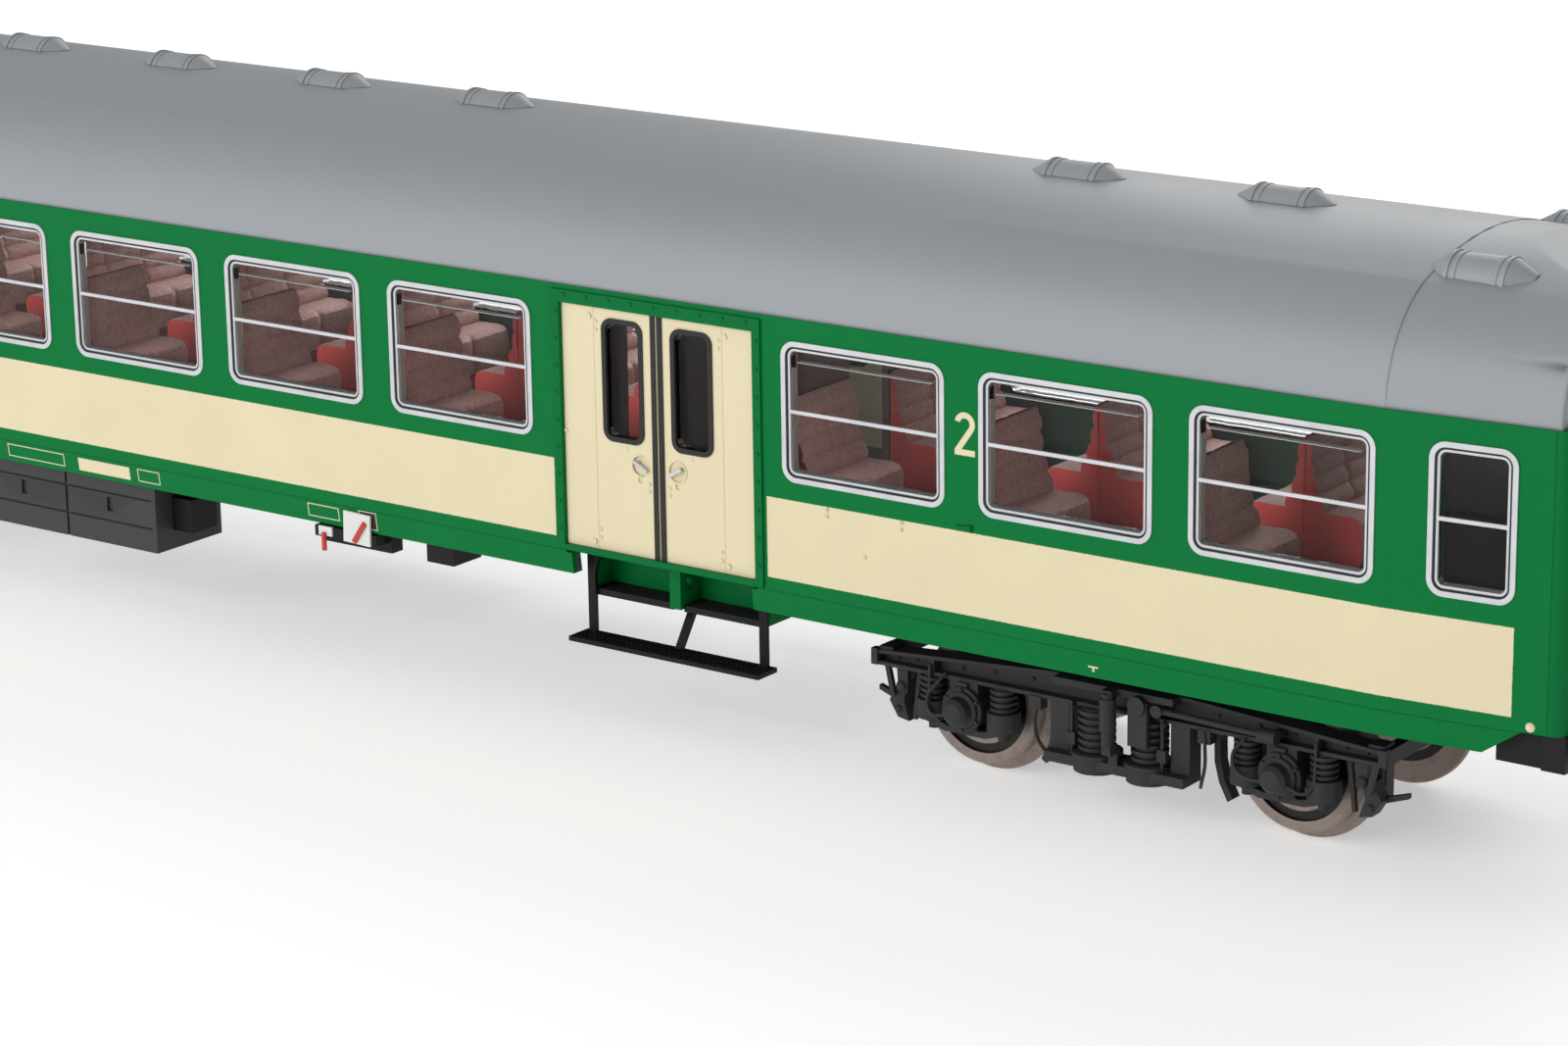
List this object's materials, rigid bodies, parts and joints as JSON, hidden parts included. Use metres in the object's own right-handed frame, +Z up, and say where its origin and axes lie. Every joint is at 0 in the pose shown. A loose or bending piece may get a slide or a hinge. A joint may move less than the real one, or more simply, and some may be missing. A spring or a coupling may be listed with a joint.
{
  "type": "model railway passenger coach",
  "caption": "Scale model of a railway passenger coach with swivelling bogies, rolling wheelsets, folding double doors, curved vented roof and swinging couplers.",
  "frame": {"origin": "centre of the coach on the plane under the wheel flanges, which is 0.9 mm below the top of the rail", "axes": "+X along the coach towards its front end, +Z up, -Y towards the side with the named near seats"},
  "size_m": [0.2872, 0.034, 0.0485],
  "materials": {
    "body_green": "satin paint",
    "roof_grey": "satin paint",
    "window_silver": "satin silver print",
    "inner_silver": "satin silver print",
    "seal_black": "matt black",
    "clear_pane": "clear",
    "door_cream": "satin paint",
    "handle_metal": "satin silver print",
    "step_black": "matt",
    "chassis_black": "matt",
    "buffer_black": "satin",
    "ballast_steel": "plain sheet",
    "interior_green": "matt",
    "interior_grey": "matt",
    "seat_red": "satin",
    "gangway_rubber": "matt black",
    "gangway_grey": "satin",
    "lamp_red": "gloss",
    "equipment_grey": "matt",
    "equipment_black": "matt",
    "lever_red": "satin",
    "plate_white": "satin",
    "pin_steel": "turned",
    "bogie_black": "matt",
    "spring_black": "matt",
    "wheel_metal": "browned, satin",
    "axle_steel": "turned",
    "coupler_black": "matt",
    "coupler_steel": "blackened"
  },
  "bodies": {
    "coach_body": {"side_left": "body_green", "side_right": "body_green", "end_walls": "body_green", "roof": "roof_grey", "roof_vents": "roof_grey", "window_frames": "window_silver", "window_gaskets": "seal_black", "window_inner_frames": "inner_silver", "glazing": "clear_pane", "door_frames": "body_green", "door_leaves": "door_cream", "door_rubbers": "seal_black", "door_handles": "handle_metal", "step_wells": "body_green", "inner_steps": "step_black", "lower_steps": "step_black", "floor_pan": "chassis_black", "floor_beams": "chassis_black", "pivot_bosses": "chassis_black", "ballast_plate": "ballast_steel", "interior_floor": "interior_green", "partitions": "interior_grey", "seats_near": "seat_red", "seats_far": "seat_red", "headstocks": "chassis_black", "buffer_housings": "chassis_black", "buffer_heads": "buffer_black", "gangway_rubbers": "gangway_rubber", "gangway_doors": "gangway_grey", "tail_lamps": "lamp_red", "battery_boxes": "equipment_grey", "equipment_boxes": "equipment_black", "air_tanks": "equipment_black", "brake_panels": "equipment_black", "brake_levers": "lever_red", "brake_plates": "plate_white", "pipes": "equipment_black", "pivot_pins": "pin_steel"},
    "front_bogie": {"front_bogie_frame": "bogie_black", "front_bogie_springs": "spring_black", "front_axlebox_covers": "bogie_black", "front_dampers": "bogie_black", "front_brakes": "bogie_black"},
    "front_outer_wheelset": {"front_outer_wheels": "wheel_metal", "front_outer_axle": "axle_steel"},
    "front_inner_wheelset": {"front_inner_wheels": "wheel_metal", "front_inner_axle": "axle_steel"},
    "front_coupler": {"front_coupler_arm": "coupler_black"},
    "front_loop": {"front_coupler_loop": "coupler_steel"},
    "rear_bogie": {"rear_bogie_frame": "bogie_black", "rear_bogie_springs": "spring_black", "rear_axlebox_covers": "bogie_black", "rear_dampers": "bogie_black", "rear_brakes": "bogie_black"},
    "rear_outer_wheelset": {"rear_outer_wheels": "wheel_metal", "rear_outer_axle": "axle_steel"},
    "rear_inner_wheelset": {"rear_inner_wheels": "wheel_metal", "rear_inner_axle": "axle_steel"},
    "rear_coupler": {"rear_coupler_arm": "coupler_black"},
    "rear_loop": {"rear_coupler_loop": "coupler_steel"}
  },
  "joints": [
    {"name": "front_bogie_turn", "type": "hinge", "parent": "coach_body", "child": "front_bogie", "pos_m": [0.09885, 0, 0.0104], "axis": [0, 0, 1], "range_deg": [-12, 12]},
    {"name": "front_outer_wheelset_roll", "type": "hinge", "parent": "front_bogie", "child": "front_outer_wheelset", "pos_m": [0.11322, 0, 0.00619], "axis": [0, 1, 0], "continuous": true},
    {"name": "front_inner_wheelset_roll", "type": "hinge", "parent": "front_bogie", "child": "front_inner_wheelset", "pos_m": [0.08448, 0, 0.00619], "axis": [0, 1, 0], "continuous": true},
    {"name": "front_coupler_swing", "type": "hinge", "parent": "coach_body", "child": "front_coupler", "pos_m": [0.1275, 0, 0.0094], "axis": [0, 0, 1], "range_deg": [-12, 12]},
    {"name": "front_loop_lift", "type": "hinge", "parent": "front_coupler", "child": "front_loop", "pos_m": [0.1384, 0, 0.0094], "axis": [0, -1, 0], "range_deg": [0, 25]},
    {"name": "rear_bogie_turn", "type": "hinge", "parent": "coach_body", "child": "rear_bogie", "pos_m": [-0.09885, 0, 0.0104], "axis": [0, 0, 1], "range_deg": [-12, 12]},
    {"name": "rear_outer_wheelset_roll", "type": "hinge", "parent": "rear_bogie", "child": "rear_outer_wheelset", "pos_m": [-0.11322, 0, 0.00619], "axis": [0, 1, 0], "continuous": true},
    {"name": "rear_inner_wheelset_roll", "type": "hinge", "parent": "rear_bogie", "child": "rear_inner_wheelset", "pos_m": [-0.08448, 0, 0.00619], "axis": [0, 1, 0], "continuous": true},
    {"name": "rear_coupler_swing", "type": "hinge", "parent": "coach_body", "child": "rear_coupler", "pos_m": [-0.1275, 0, 0.0094], "axis": [0, 0, 1], "range_deg": [-12, 12]},
    {"name": "rear_loop_lift", "type": "hinge", "parent": "rear_coupler", "child": "rear_loop", "pos_m": [-0.1384, 0, 0.0094], "axis": [0, 1, 0], "range_deg": [0, 25]}
  ]
}
